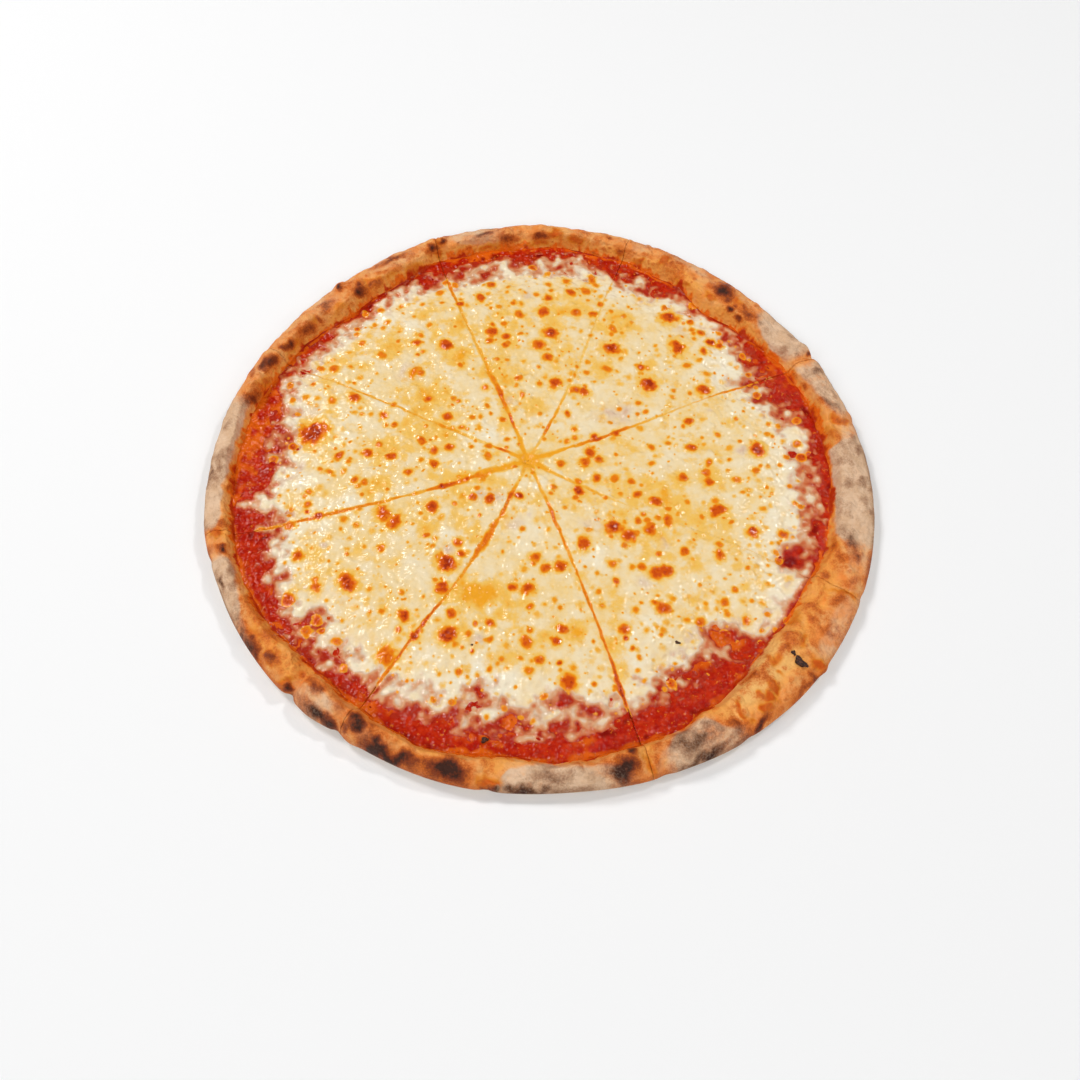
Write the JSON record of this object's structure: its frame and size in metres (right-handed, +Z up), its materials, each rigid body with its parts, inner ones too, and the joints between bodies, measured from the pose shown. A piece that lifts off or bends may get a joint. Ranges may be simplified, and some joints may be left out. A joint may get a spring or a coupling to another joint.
{
  "type": "margherita pizza",
  "caption": "Round thin-crust pizza with tomato sauce and melted cheese, cut into wedge slices that still lie together inside a raised, blistered rim.",
  "frame": {"origin": "on the surface that the pizza rests on, below the middle of its outline", "axes": "+Z is up; +X is to the right and +Y away from the viewer as in the reference picture"},
  "size_m": [0.319, 0.3154, 0.015],
  "materials": {
    "crust": "baked wheat crust, matt, floured cream to toasted brown with a few charred blisters",
    "sauce": "wet glossy tomato sauce, deep red with orange oily parts",
    "cheese": "melted mozzarella, glossy cream with orange oil and browned blisters"
  },
  "bodies": {
    "root": {"crust_1": "crust", "crust_2": "crust", "crust_3": "crust", "crust_4": "crust", "crust_5": "crust", "crust_6": "crust", "crust_7": "crust", "crust_8": "crust", "sauce_1": "sauce", "sauce_2": "sauce", "sauce_3": "sauce", "sauce_4": "sauce", "sauce_5": "sauce", "sauce_6": "sauce", "sauce_7": "sauce", "sauce_8": "sauce", "cheese_1": "cheese", "cheese_2": "cheese", "cheese_3": "cheese", "cheese_4": "cheese", "cheese_5": "cheese", "cheese_6": "cheese", "cheese_7": "cheese", "cheese_8": "cheese"}
  },
  "joints": []
}
